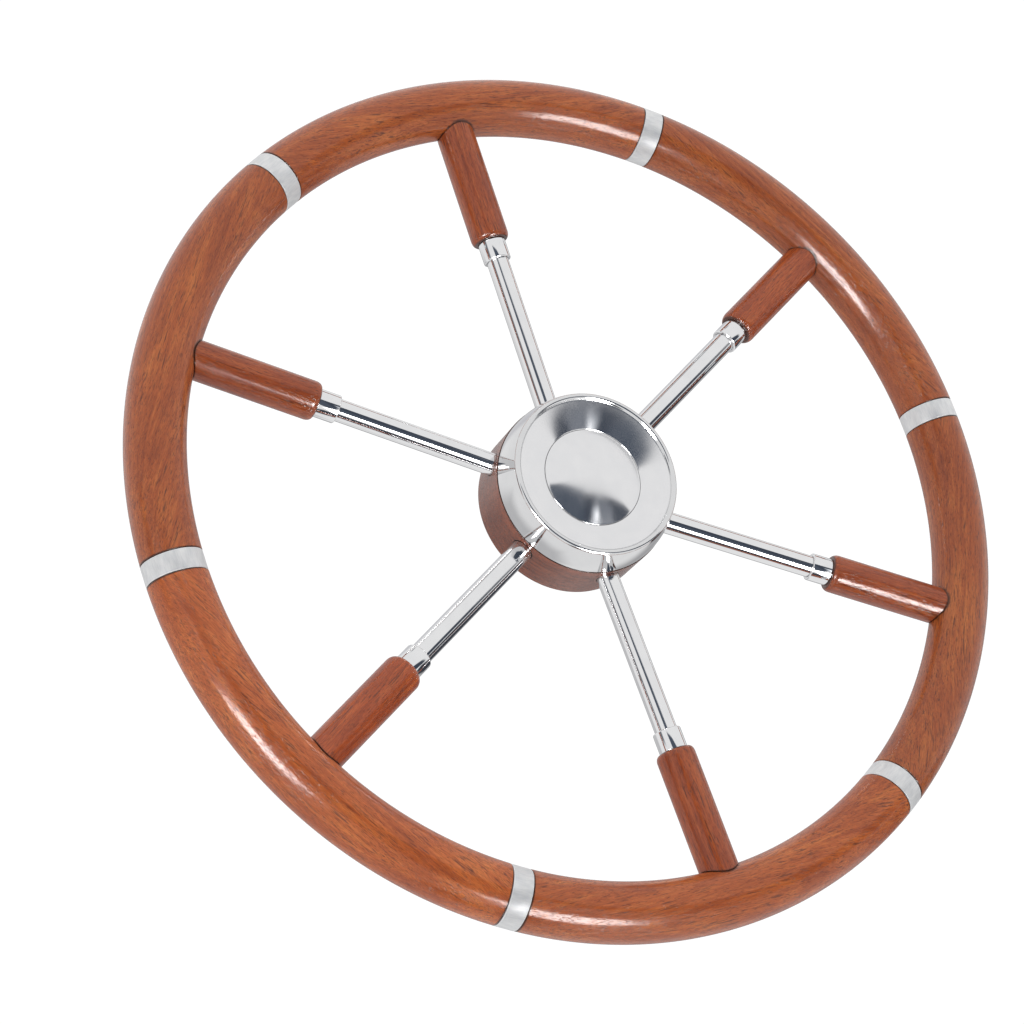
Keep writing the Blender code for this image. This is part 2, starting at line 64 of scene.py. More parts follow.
# -------- sizes read from the frame


def node_points(node):
    """A CAD node's points."""
    return [vert.co.copy() for vert in frame["nodes"][node].data.vertices]


class Extent:
    """How far a CAD node reaches along an axis (back, front) and from it (inner, outer)."""

    def __init__(self, node, origin, direction):
        offsets = [point - origin for point in node_points(node)]
        along = [offset.dot(direction) for offset in offsets]
        away = [(offset - offset.dot(direction) * direction).length for offset in offsets]
        self.back = min(along)
        self.front = max(along)
        self.inner = min(away)
        self.outer = max(away)


def spoke_line(number):
    """Where a spoke's axis crosses the shaft's axis, and its direction, from the ends of its tube."""
    points = sorted(node_points(f"spoke_tube_{number}"), key=lambda point: math.hypot(point.x, point.z))
    half = len(points) // 2
    near = sum(points[:half], Vector()) / half
    far = sum(points[half:], Vector()) / half
    direction = (far - near).normalized()
    across = Vector((direction.x, 0.0, direction.z))
    origin = near - direction * (Vector((near.x, 0.0, near.z)).dot(across) / across.length_squared)
    return origin, direction


SEGMENT_LOW, SEGMENT_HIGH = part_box("rim_segment_1")
RIM_SECTION = (SEGMENT_HIGH.y - SEGMENT_LOW.y) / 2.0
RIM_PLANE = (SEGMENT_HIGH.y + SEGMENT_LOW.y) / 2.0
RIM_RADIUS = SEGMENT_HIGH.z - RIM_SECTION
HUB = {name: Extent(name, SHAFT, FORWARD) for name in
       ("hub_ring", "hub_boss", "hub_shell", "shell_flange", "centre_cap", "cap_seal")}
SHAFT_MOUNT = next(mount for mount in frame["record"]["mounts"] if mount["name"] == "shaft_bore")
SPOKE_LINES = {number: spoke_line(number) for number in SPOKES}
TUBE = Extent("spoke_tube_1", *SPOKE_LINES[1])
FERRULE = Extent("spoke_ferrule_1", *SPOKE_LINES[1])
HANDLE = Extent("spoke_handle_1", *SPOKE_LINES[1])
ROD = Extent("spoke_rod_1", *SPOKE_LINES[1])


# -------- mesh tools


def turns(count):
    """Equal angles right round."""
    return [FULL_TURN * index / count for index in range(count)]


def axis_matrix(origin, direction, side=-FORWARD):
    """Places a mesh turned about X: its X axis points along direction, its Z axis near side."""
    along = direction.normalized()
    across = side.cross(along).normalized()
    up = along.cross(across)
    matrix = Matrix((along, across, up)).transposed().to_4x4()
    matrix.translation = origin
    return matrix


def rounded(corners, steps=4):
    """An outline with its corners rounded. A corner is (x, y) or (x, y, radius)."""
    outline = []
    count = len(corners)
    for index, corner in enumerate(corners):
        here = Vector(corner[:2])
        radius = corner[2] if len(corner) > 2 else 0.0
        if radius == 0.0:
            outline.append(tuple(here))
            continue
        before = Vector(corners[index - 1][:2]) - here
        after = Vector(corners[(index + 1) % count][:2]) - here
        half = before.angle(after) / 2.0
        reach = radius / math.tan(half)
        centre = here + (before.normalized() + after.normalized()).normalized() * (radius / math.sin(half))
        start = here + before.normalized() * reach - centre
        end = here + after.normalized() * reach - centre
        turn = start.angle_signed(end)
        for step in range(steps + 1):
            point = start.copy()
            point.rotate(Matrix.Rotation(-turn * step / steps, 2))
            outline.append(tuple(centre + point))
    return outline


def loft(name, rings, closed_path=False, closed_rings=True):
    """A mesh skinned over equal rings of points. The last ring joins the first, or both get a cap."""
    bm = bmesh.new()
    loops = [[bm.verts.new(point) for point in ring] for ring in rings]
    count = len(loops[0])
    pairs = list(zip(loops, loops[1:]))
    if closed_path:
        pairs.append((loops[-1], loops[0]))
    for near, far in pairs:
        for index in range(count if closed_rings else count - 1):
            following = (index + 1) % count
            bm.faces.new((near[index], near[following], far[following], far[index]))
    if not closed_path:
        bm.faces.new(loops[0])
        bm.faces.new(loops[-1])
    return finish_mesh(name, bm)


def finish_mesh(name, bm):
    """Weld, turn the faces outwards and shade smooth."""
    bmesh.ops.remove_doubles(bm, verts=bm.verts, dist=WELD_DISTANCE)
    bmesh.ops.recalc_face_normals(bm, faces=bm.faces)
    mesh = bpy.data.meshes.new(name)
    bm.to_mesh(mesh)
    bm.free()
    mesh.shade_smooth()
    mesh.set_sharp_from_angle(angle=SHARP_ANGLE)
    return mesh


def turned(name, outline, sides, closed=True):
    """A mesh turned about X from an outline of (distance, radius). An open one ends on the axis."""
    rings = [[Vector((x, r * math.sin(turn), r * math.cos(turn))) for x, r in outline]
             for turn in turns(sides)]
    return loft(name, rings, closed_path=True, closed_rings=closed)


def piece(name, mesh, material, body, node, matrix=None):
    """A named object that rides on a body and stands for a CAD node. The matrix puts it in its place."""
    made = bpy.data.objects.new(name, mesh)
    bpy.context.scene.collection.objects.link(made)
    made.data.materials.clear()
    made.data.materials.append(material)
    if matrix is not None:
        made.matrix_world = matrix
    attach(made, body)
    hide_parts(node)
    return made


def subtract(mesh, cutters):
    """A mesh with other meshes cut out of it."""
    scene = bpy.context.scene
    body = bpy.data.objects.new("cut_body", mesh)
    scene.collection.objects.link(body)
    tools = []
    for cutter in cutters:
        tool = bpy.data.objects.new("cutter", cutter)
        scene.collection.objects.link(tool)
        tools.append(tool)
        modifier = body.modifiers.new("cut", "BOOLEAN")
        modifier.operation = "DIFFERENCE"
        modifier.solver = "EXACT"
        modifier.object = tool
    graph = bpy.context.evaluated_depsgraph_get()
    result = bpy.data.meshes.new_from_object(body.evaluated_get(graph))
    for used in [body, *tools]:
        bpy.data.objects.remove(used, do_unlink=True)
    result.shade_smooth()
    result.set_sharp_from_angle(angle=SHARP_ANGLE)
    return result


def set_amount(mesh, name, values):
    """Stores one number per point for a material to read."""
    attribute = mesh.attributes.new(name, "FLOAT", "POINT")
    for value, slot in zip(values, attribute.data):
        slot.value = value


def set_grain(mesh, to_plank, seed, tints, joint_gaps):
    """Stores each point's tint, how far it is from a joint, and its place in a plank, X along the grain."""
    set_amount(mesh, "tint", tints)
    set_amount(mesh, "joint_gap", joint_gaps)
    draw = random.Random(seed)
    shift = Vector((draw.uniform(0, 9), draw.uniform(-0.05, 0.05), draw.uniform(0.04, 0.11)))
    attribute = mesh.attributes.new("grain", "FLOAT_VECTOR", "POINT")
    for vert, slot in zip(mesh.vertices, attribute.data):
        slot.vector = to_plank @ vert.co + shift


# -------- materials


class NodeTree:
    """Builds the nodes of a material or of the world."""

    def __init__(self, owner):
        self.owner = owner
        owner.use_nodes = True
        self.tree = owner.node_tree

    def node(self, kind, inputs=None, **settings):
        made = self.tree.nodes.new(kind)
        for key, value in settings.items():
            setattr(made, key, value)
        for key, value in (inputs or {}).items():
            self.feed(made.inputs[key], value)
        return made

    def feed(self, socket, value):
        if isinstance(value, bpy.types.NodeSocket):
            self.tree.links.new(value, socket)
        else:
            socket.default_value = value

    def end_inputs(self, end, values):
        for key, value in values.items():
            self.feed(self.tree.nodes[end].inputs[key], value)

    def maths(self, operation, first, second=0.0):
        return self.node("ShaderNodeMath", {0: first, 1: second}, operation=operation).outputs[0]

    def times(self, first, second):
        return self.maths("MULTIPLY", first, second)

    def scaled(self, vector, scale):
        return self.node("ShaderNodeVectorMath", {0: vector, 1: scale}, operation="MULTIPLY").outputs[0]

    def added(self, vector, other):
        return self.node("ShaderNodeVectorMath", {0: vector, 1: other}, operation="ADD").outputs[0]

    def noise(self, vector, scale, detail=3.0, roughness=0.5, output="Fac"):
        """Noise in space. A scale of three numbers stretches it."""
        if isinstance(scale, tuple):
            vector = self.scaled(vector, scale)
            scale = 1.0
        inputs = {"Vector": vector, "Scale": scale, "Detail": detail, "Roughness": roughness}
        return self.node("ShaderNodeTexNoise", inputs).outputs[output]

    def ramp(self, value, *stops):
        made = self.node("ShaderNodeValToRGB", {"Fac": value})
        elements = made.color_ramp.elements
        while len(elements) < len(stops):
            elements.new(0.5)
        for element, (position, colour) in zip(elements, stops):
            element.position = position
            if isinstance(colour, float):
                colour = (colour, colour, colour)
            element.color = (*colour, 1.0)
        return made.outputs["Color"]

    def mix(self, factor, first, second, blend="MIX"):
        made = self.node("ShaderNodeMix", data_type="RGBA", blend_type=blend)
        for socket, value in ((made.inputs[0], factor), (made.inputs[6], first), (made.inputs[7], second)):
            if isinstance(value, tuple) and len(value) == 3:
                value = (*value, 1.0)
            self.feed(socket, value)
        return made.outputs[2]

    def bump(self, height, distance, strength=1.0, under=None):
        inputs = {"Height": height, "Distance": distance, "Strength": strength}
        if under is not None:
            inputs["Normal"] = under
        return self.node("ShaderNodeBump", inputs).outputs["Normal"]

    def object_place(self):
        return self.node("ShaderNodeTexCoord").outputs["Object"]

    def parts(self, vector):
        return self.node("ShaderNodeSeparateXYZ", {"Vector": vector}).outputs

    def length(self, first, second):
        """The length of a flat vector with these two parts."""
        return self.maths("SQRT", self.maths("ADD", self.times(first, first), self.times(second, second)))

    def layers(self, value, scale, detail, roughness=0.5):
        """Noise along one number, such as a distance from an axis."""
        inputs = {"W": value, "Scale": scale, "Detail": detail, "Roughness": roughness}
        return self.node("ShaderNodeTexNoise", inputs, noise_dimensions="1D").outputs["Fac"]

    def fade(self, value, start, end):
        """1 below start, 0 above end, and smooth between."""
        inputs = {"Value": value, "From Min": start, "From Max": end, "To Min": 1.0, "To Max": 0.0}
        return self.node("ShaderNodeMapRange", inputs, interpolation_type="SMOOTHSTEP").outputs["Result"]


class Shader(NodeTree):
    """Builds a new material, which ends in a Principled BSDF."""

    def __init__(self, name):
        super().__init__(bpy.data.materials.new(name))

    def finish(self, values):
        self.end_inputs("Principled BSDF", values)
        return self.owner


# The dark in the wood at a joint, glue and varnish in the seam and partly painted shade between the parts,
# starts to fade at the first distance and ends at the second
STAIN_AND_SHADE_FULL = 0.0001
STAIN_AND_SHADE_REACH = 0.0010
STAIN_AND_SHADE_COLOUR = (0.020, 0.010, 0.007)
PORE_COLOUR = (0.060, 0.016, 0.008)
SMUDGE_COLOUR = (0.060, 0.022, 0.016)
DASH_COLOUR = (0.060, 0.018, 0.010)


def mahogany(name, light, middle, dark, coat_roughness):
    """Varnished mahogany: soft stripes, patches, dashes and short dark pores under a clear coat."""
    shader = Shader(name)
    grain = shader.node("ShaderNodeAttribute", attribute_name="grain").outputs["Vector"]
    sway = shader.noise(grain, (9.0, 22.0, 22.0), output="Color")
    sway = shader.scaled(shader.added(sway, (-0.5, -0.5, -0.5)), (0.0, 0.009, 0.009))
    swayed = shader.added(grain, sway)
    across = shader.parts(swayed)
    layers = shader.layers(shader.length(across["Y"], across["Z"]), 420.0, 5.0, 0.65)
    patches = shader.noise(grain, (16.0, 60.0, 60.0), roughness=0.6)
    stripes = shader.noise(swayed, (22.0, 380.0, 380.0), detail=5.0, roughness=0.7)
    fibre = shader.noise(swayed, (150.0, 1250.0, 1250.0), detail=4.0, roughness=0.75)
    pore_cells = shader.noise(swayed, (260.0, 1900.0, 1900.0), detail=1.5)
    pores = shader.ramp(pore_cells, (0.31, 1.0), (0.44, 0.0))
    fleck_cells = shader.noise(swayed, (260.0, 1300.0, 1300.0), detail=2.0)
    flecks = shader.ramp(fleck_cells, (0.58, 0.0), (0.72, 1.0))
    smudge_cells = shader.noise(swayed, (34.0, 150.0, 150.0), detail=4.0, roughness=0.7)
    smudges = shader.ramp(smudge_cells, (0.25, 1.0), (0.35, 0.0))
    dash_cells = shader.noise(swayed, (70.0, 1000.0, 1000.0), detail=2.0)
    dash_zones = shader.ramp(patches, (0.40, 0.0), (0.54, 1.0))
    dashes = shader.times(shader.ramp(dash_cells, (0.34, 1.0), (0.43, 0.0)), dash_zones)
    broad = shader.maths("ADD", shader.times(stripes, 0.40), shader.times(patches, 0.38))
    tone = shader.maths("ADD", shader.times(layers, 0.22), broad)
    colour = shader.ramp(tone, (0.37, dark), (0.50, middle), (0.63, light))
    colour = shader.mix(1.0, colour, shader.ramp(fibre, (0.30, 0.66), (0.68, 1.0)), "MULTIPLY")
    colour = shader.scaled(colour, (1.16, 1.16, 1.16))
    colour = shader.mix(shader.times(flecks, 0.35), colour, light)
    colour = shader.mix(shader.times(pores, 0.55), colour, PORE_COLOUR)
    colour = shader.mix(shader.times(smudges, 0.55), colour, SMUDGE_COLOUR)
    colour = shader.mix(shader.times(dashes, 0.65), colour, DASH_COLOUR)
    tint = shader.node("ShaderNodeAttribute", attribute_name="tint").outputs["Fac"]
    gap = shader.node("ShaderNodeAttribute", attribute_name="joint_gap").outputs["Fac"]
    uneven = shader.noise(grain, (500.0, 500.0, 500.0), detail=2.0)
    gap = shader.maths("DIVIDE", gap, shader.maths("ADD", uneven, 0.5))
    stain = shader.fade(gap, STAIN_AND_SHADE_FULL, STAIN_AND_SHADE_REACH)
    tint = shader.node("ShaderNodeCombineXYZ", {0: tint, 1: tint, 2: tint}).outputs[0]
    colour = shader.scaled(colour, tint)
    # Dark glue and varnish at the joints and end grain, together with painted shade where the parts meet
    colour = shader.mix(shader.times(stain, 0.78), colour, STAIN_AND_SHADE_COLOUR)
    ridges = shader.maths("SUBTRACT", fibre, shader.times(pores, 0.6))
    orange_peel = shader.noise(grain, (90.0, 190.0, 190.0), roughness=0.6)
    under = shader.bump(ridges, 0.00008, 0.6)
    over = shader.bump(pores, -0.00008, 0.9, shader.bump(orange_peel, 0.0003, 0.4))
    gloss = shader.ramp(fibre, (0.3, 0.60), (0.7, 0.48))
    return shader.finish({"Base Color": colour, "Roughness": gloss, "Normal": under, "Coat Normal": over,
                          "Coat Weight": 0.9, "Coat Roughness": coat_roughness, "Coat IOR": 1.48,
                          "Specular IOR Level": 0.06})


def plain_wood(name):
    """Unvarnished beech with fine short pores."""
    shader = Shader(name)
    place = shader.object_place()
    fibre = shader.noise(place, (900.0, 900.0, 60.0), detail=4.0)
    fleck = shader.noise(place, (2200.0, 2200.0, 300.0), detail=1.0)
    colour = shader.ramp(fibre, (0.3, (0.42, 0.25, 0.13)), (0.7, (0.66, 0.45, 0.28)))
    return shader.finish({"Base Color": colour, "Roughness": shader.ramp(fleck, (0.3, 0.6), (0.7, 0.8)),
                          "Normal": shader.bump(fibre, 0.00005)})


def polished_steel(name, waviness=0.12, shine=1.0):
    """Mirror-polished stainless: faint buffing marks, soft waviness and a trace of haze."""
    shader = Shader(name)
    place = shader.object_place()
    wave = shader.noise(place, 42.0, detail=1.0)
    marks = shader.noise(place, (2600.0, 240.0, 700.0), detail=2.0, roughness=0.7)
    smear = shader.noise(place, 95.0, detail=4.0, roughness=0.65)
    under = shader.bump(wave, 0.00012, waviness)
    buffed = shader.bump(marks, 0.0000025, 1.0, under)
    dull = (0.700 * shine, 0.703 * shine, 0.712 * shine)
    bright = (0.745 * shine, 0.745 * shine, 0.750 * shine)
    colour = shader.ramp(smear, (0.25, dull), (0.75, bright))
    gloss = shader.ramp(smear, (0.3, 0.035), (0.8, 0.095))
    return shader.finish({"Base Color": colour, "Metallic": 1.0, "Roughness": gloss, "Normal": buffed})


def turned_steel(name):
    """Stainless turned and buffed about the shaft: its marks run round it and spread glints outwards."""
    shader = Shader(name)
    place = shader.object_place()
    parts = shader.parts(place)
    rings = shader.layers(shader.length(parts["X"], parts["Z"]), 1500.0, 3.0)
    wave = shader.noise(place, 30.0, detail=1.0)
    scuffs = shader.noise(place, (1900.0, 400.0, 260.0), detail=2.0, roughness=0.7)
    smear = shader.noise(place, 70.0, detail=5.0, roughness=0.65)
    marks = shader.maths("ADD", shader.times(rings, 0.7), shader.times(scuffs, 0.5))
    under = shader.bump(wave, 0.00025, 0.12)
    buffed = shader.bump(marks, 0.0000022, 1.0, under)
    colour = shader.ramp(smear, (0.25, (0.690, 0.692, 0.705)), (0.75, (0.745, 0.742, 0.748)))
    gloss = shader.ramp(smear, (0.30, 0.125), (0.75, 0.165))
    round_it = shader.node("ShaderNodeTangent", direction_type="RADIAL", axis="Y").outputs["Tangent"]
    return shader.finish({"Base Color": colour, "Metallic": 1.0, "Roughness": gloss, "Normal": buffed,
                          "Anisotropic": 0.9, "Anisotropic Rotation": 0.25, "Tangent": round_it})


def satin_steel(name, highlight_lift=0.0):
    """Satin band: fine lines along the rim, and slightly uneven. The second argument paints it brighter: a
    painted highlight.
    """
    shader = Shader(name)
    place = shader.object_place()
    lines = shader.noise(place, (240.0, 2600.0, 2600.0), detail=4.0, roughness=0.65)
    patches = shader.noise(place, (120.0, 420.0, 420.0))
    dull = (0.670 + highlight_lift, 0.680 + highlight_lift, 0.695 + highlight_lift)
    bright = (0.800 + highlight_lift, 0.800 + highlight_lift, 0.800 + highlight_lift)
    colour = shader.ramp(patches, (0.3, dull), (0.7, bright))
    colour = shader.mix(1.0, colour, shader.ramp(lines, (0.30, 0.90), (0.70, 1.06)), "MULTIPLY")
    gloss = shader.ramp(lines, (0.3, 0.42), (0.7, 0.56))
    return shader.finish({"Base Color": colour, "Metallic": 0.5, "Roughness": gloss,
                          "Normal": shader.bump(lines, 0.00001, 0.8)})


def machined_steel(name):
    """Steel as it comes off the lathe: fine rings about the piece's X axis."""
    shader = Shader(name)
    place = shader.object_place()
    parts = shader.parts(place)
    reach = shader.length(parts["Y"], parts["Z"])
    rings = shader.layers(shader.maths("ADD", reach, parts["X"]), 2600.0, 2.0)
    stain = shader.noise(place, 110.0, detail=4.0, roughness=0.6)
    colour = shader.ramp(stain, (0.3, (0.40, 0.405, 0.42)), (0.7, (0.56, 0.56, 0.57)))
    gloss = shader.ramp(rings, (0.3, 0.28), (0.7, 0.42))
    return shader.finish({"Base Color": colour, "Metallic": 1.0, "Roughness": gloss,
                          "Normal": shader.bump(rings, 0.00001, 0.7)})


def black_rubber(name):
    """Matt rubber with a fine moulded texture."""
    shader = Shader(name)
    place = shader.object_place()
    skin = shader.noise(place, 2400.0)
    dust = shader.noise(place, 300.0)
    colour = shader.ramp(dust, (0.4, (0.016, 0.016, 0.016)), (0.8, (0.040, 0.039, 0.037)))
    return shader.finish({"Base Color": colour, "Roughness": shader.ramp(dust, (0.3, 0.62), (0.7, 0.8)),
                          "Normal": shader.bump(skin, 0.00003, 0.5)})


RIM_WOOD = mahogany("varnished_mahogany", light=(0.590, 0.165, 0.036), middle=(0.440, 0.097, 0.021),
                    dark=(0.290, 0.054, 0.012), coat_roughness=0.16)
HANDLE_WOOD = mahogany("handle_mahogany", light=(0.480, 0.115, 0.027), middle=(0.350, 0.067, 0.016),
                       dark=(0.220, 0.036, 0.009), coat_roughness=0.13)
HUB_WOOD = mahogany("hub_mahogany", light=(0.290, 0.078, 0.030), middle=(0.200, 0.047, 0.019),
                    dark=(0.115, 0.026, 0.011), coat_roughness=0.16)
DOWEL_WOOD = plain_wood("dowel_beech")
POLISHED = polished_steel("polished_stainless")
PRESSED = polished_steel("pressed_stainless", waviness=0.75, shine=0.90)
TURNED = turned_steel("turned_stainless")
SATIN = satin_steel("satin_stainless")
# A brighter copy of the satin for the bands' rounded edges: a painted highlight where the edges catch light
BAND_EDGE_HIGHLIGHT = satin_steel("band_edge_painted_highlight", highlight_lift=0.13)
MACHINED = machined_steel("machined_steel")
RUBBER = black_rubber("seal_rubber")


# -------- rim

RIM_SIDES = 72
RIM_STEP_DEGREES = 0.75
SEGMENT_STEP = math.radians(60.0)
# The gap between two segments, the rounding of their ends, and the dense rings that carry the stain and
# painted shade
SEAM = 0.00035
END_ROUND = 0.0005
END_ROUND_STEPS = 4
END_RINGS = 3
END_RINGS_REACH = 0.0008
# Each plank's brightness, and in degrees how its grain leans from the segment's chord and turns about it
PLANK_TINTS = (0.94, 0.88, 0.82, 1.00, 1.11, 0.90)
PLANK_SKEWS = (-3.0, 2.0, 5.0, -2.0, 3.0, -4.0)
PLANK_TILTS = (48.0, 79.0, 110.0, 141.0, 172.0, 203.0)
RIM_SEED = 40
BAND_SIDES = 96
BAND_EDGE_ROUND = 0.0005


def rim_ring(angle, along, radius):
    """A round section of the rim, parallel to the one at the given angle and offset along the rim."""
    outward = Vector((math.cos(angle), 0.0, math.sin(angle)))
    tangent = Vector((-math.sin(angle), 0.0, math.cos(angle)))
    centre = outward * math.sqrt(RIM_RADIUS ** 2 - along ** 2) + tangent * along
    return [centre + radius * (math.cos(turn) * outward - math.sin(turn) * FORWARD)
            for turn in turns(RIM_SIDES)]


def joint_frame(number):
    """The centre of a rim joint, and the rim's direction there."""
    low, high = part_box(f"rim_band_{number}")
    middle = (low + high) / 2.0
    angle = math.atan2(middle.z, middle.x)
    centre = Vector((RIM_RADIUS * math.cos(angle), RIM_PLANE, RIM_RADIUS * math.sin(angle)))
    return centre, Vector((-math.sin(angle), 0.0, math.cos(angle)))


BAND = Extent("rim_band_1", *joint_frame(1))


def build_segment(number):
    """One wooden sixth of the rim, with softened ends and a rebate under each band."""
    shoulder = BAND.front + SEAM
    rebate = BAND.inner - 2.0 * SEAM
    half = SEGMENT_STEP / 2.0
    end = [(SEAM / 2.0, rebate), (shoulder, rebate), (shoulder, RIM_SECTION - END_ROUND)]
    for step in range(1, END_ROUND_STEPS + 1):
        turn = QUARTER_TURN * step / END_ROUND_STEPS
        end.append((shoulder + END_ROUND * (1.0 - math.cos(turn)),
                    RIM_SECTION - END_ROUND + END_ROUND * math.sin(turn)))
    for step in range(1, END_RINGS + 1):
        end.append((shoulder + END_RINGS_REACH * step / END_RINGS, RIM_SECTION))
    free = half - (shoulder + 2.0 * END_RINGS_REACH) / RIM_RADIUS
    count = int(math.degrees(free) * 2.0 / RIM_STEP_DEGREES)
    rings = [rim_ring(-half, along, radius) for along, radius in end]
    rings += [rim_ring(-free + 2.0 * free * step / count, 0.0, RIM_SECTION) for step in range(count + 1)]
    rings += [rim_ring(half, -along, radius) for along, radius in reversed(end)]
    mesh = loft(f"rim_{number}", rings)
    outward = SPOKE_LINES[number][1]
    turn = Matrix.Rotation(-math.atan2(outward.z, outward.x), 4, "Y")
    # The plank lies along the segment's chord
    along_chord = Matrix(((0, 0, 1, 0), (1, 0, 0, 0), (0, 1, 0, 0), (0, 0, 0, 1)))
    tilt = Matrix.Rotation(math.radians(PLANK_TILTS[number - 1]), 4, "X")
    skew = Matrix.Rotation(math.radians(PLANK_SKEWS[number - 1]), 4, "Z")
    lift = Matrix.Translation((-RIM_RADIUS, 0.0, 0.0))
    gaps = []
    for vert in mesh.vertices:
        from_band = RIM_RADIUS * (half - abs(math.atan2(vert.co.z, vert.co.x))) - shoulder
        from_handle = math.hypot(vert.co.y, vert.co.z) - HANDLE.outer
        inside = vert.co.x < RIM_RADIUS
        gaps.append(max(0.0, min(from_band, from_handle) if inside else from_band))
    tints = [PLANK_TINTS[number - 1]] * len(gaps)
    set_grain(mesh, tilt @ skew @ along_chord @ lift, RIM_SEED + number, tints, gaps)
    mesh.transform(Matrix.Translation((0.0, RIM_PLANE, 0.0)) @ turn)
    piece(f"wood_rim_{number}", mesh, RIM_WOOD, "wheel", f"rim_segment_{number}")


def build_band(number):
    """A satin metal sleeve, flush with the wood, with softened edges."""
    centre, along = joint_frame(number)
    outline = rounded([(BAND.back, BAND.inner), (BAND.back, BAND.outer, BAND_EDGE_ROUND),
                       (BAND.front, BAND.outer, BAND_EDGE_ROUND), (BAND.front, BAND.inner)])
    made = piece(f"band_{number}", turned(f"band_{number}", outline, BAND_SIDES), SATIN, "wheel",
                 f"rim_band_{number}", axis_matrix(centre, along))
    # The rounded edges get the brighter satin: a painted highlight along the band's edges
    made.data.materials.append(BAND_EDGE_HIGHLIGHT)
    for face in made.data.polygons:
        if abs(face.center.x) > BAND.front - BAND_EDGE_ROUND:
            face.material_index = 1


for number in SPOKES:
    build_segment(number)
    build_band(number)


# -------- spokes

SPOKE_SIDES = 64
LINE_GAP = 0.0003
HANDLE_TINTS = (1.0, 1.06, 1.03, 0.98, 1.18, 0.97)
HANDLE_TILTS = (92.0, 159.0, 226.0, 293.0, 360.0, 427.0)
HANDLE_SEED = 90
# A handle's nose runs from its flat face's radius to its full one
HANDLE_FACE = 0.0104
NOSE_LENGTH = 0.0045
NOSE_STEPS = 16
# Rings along the straight part
HANDLE_STEP = 0.0035
HANDLE_STEPS = 17
SPIGOT_RADIUS = HANDLE_FACE - 0.0027
SPIGOT_BORE = HANDLE_FACE - 0.0024
# Where the handle meets the rim: the gap, the arris, and the rings before it that carry the stain and
# painted shade
COPE_GAP = 0.00025
HANDLE_ARRIS = 0.0003
COPE_INSETS = (0.0024, 0.0016, 0.0010, 2.0 * HANDLE_ARRIS, HANDLE_ARRIS)
ARRIS_BEND = (0.4, 0.3)
COPE_FACE_STEPS = 4
COPE_SEARCH_STEPS = 40
FERRULE_ROUND = 0.0009
SHOULDER_ROUND = 0.0002
FERRULE_STEPS = 6
TUBE_STEPS = 8


def rim_distance(point):
    """Distance from the rim's centre line."""
    return math.hypot(math.hypot(point.x, point.z) - RIM_RADIUS, point.y - RIM_PLANE)


def coped_distance(origin, direction, offset):
    """How far along a spoke a point at an offset from its axis meets the rim."""
    low = HANDLE.back
    high = RIM_RADIUS
    for _ in range(COPE_SEARCH_STEPS):
        middle = (low + high) / 2.0
        if rim_distance(origin + direction * middle + offset) > RIM_SECTION + COPE_GAP:
            low = middle
        else:
            high = middle
    return low


def build_handle(number):
    """Turned wooden grip: rounded nose, straight body, outer end coped to the rim."""
    origin, direction = SPOKE_LINES[number]
    matrix = axis_matrix(origin, direction)
    turn_only = matrix.to_3x3()
    rod = ROD.outer + LINE_GAP
    spigot = FERRULE.front + LINE_GAP
    nose = []
    for step in range(NOSE_STEPS + 1):
        turn = QUARTER_TURN * step / NOSE_STEPS
        nose.append((HANDLE.back + NOSE_LENGTH * (1.0 - math.cos(turn)),
                     HANDLE_FACE + (HANDLE.outer - HANDLE_FACE) * math.sin(turn)))
    straight = [(HANDLE.back + NOSE_LENGTH + HANDLE_STEP * step, HANDLE.outer)
                for step in range(1, HANDLE_STEPS + 1)]

    def ring(distance, radius):
        return [matrix @ Vector((distance, radius * math.sin(turn), radius * math.cos(turn)))
                for turn in turns(SPOKE_SIDES)]

    def coped_ring(radius, inset=0.0):
        points = []
        for turn in turns(SPOKE_SIDES):
            offset = turn_only @ Vector((0.0, radius * math.sin(turn), radius * math.cos(turn)))
            points.append(origin + direction * (coped_distance(origin, direction, offset) - inset) + offset)
        return points

    rings = [ring(HANDLE.back, SPIGOT_BORE)]
    rings += [ring(distance, radius) for distance, radius in nose + straight]
    rings += [coped_ring(HANDLE.outer, inset) for inset in COPE_INSETS]
    rings.append(coped_ring(HANDLE.outer - ARRIS_BEND[0] * HANDLE_ARRIS, ARRIS_BEND[1] * HANDLE_ARRIS))
    for step in range(COPE_FACE_STEPS, -1, -1):
        rings.append(coped_ring(rod + (HANDLE.outer - HANDLE_ARRIS - rod) * step / COPE_FACE_STEPS))
    rings.append(ring(spigot, rod))
    rings.append(ring(spigot, SPIGOT_BORE))
    mesh = loft(f"handle_{number}", rings, closed_path=True)
    tilt = Matrix.Rotation(math.radians(HANDLE_TILTS[number - 1]), 4, "X")
    back = matrix.inverted()
    gaps = []
    for vert in mesh.vertices:
        from_face = (back @ vert.co).x - HANDLE.back
        from_rim = rim_distance(vert.co) - RIM_SECTION - COPE_GAP
        gaps.append(max(0.0, min(from_face, from_rim)))
    set_grain(mesh, tilt @ back, HANDLE_SEED + number, [HANDLE_TINTS[number - 1]] * len(gaps), gaps)
    piece(f"grip_{number}", mesh, HANDLE_WOOD, "wheel", f"spoke_handle_{number}")


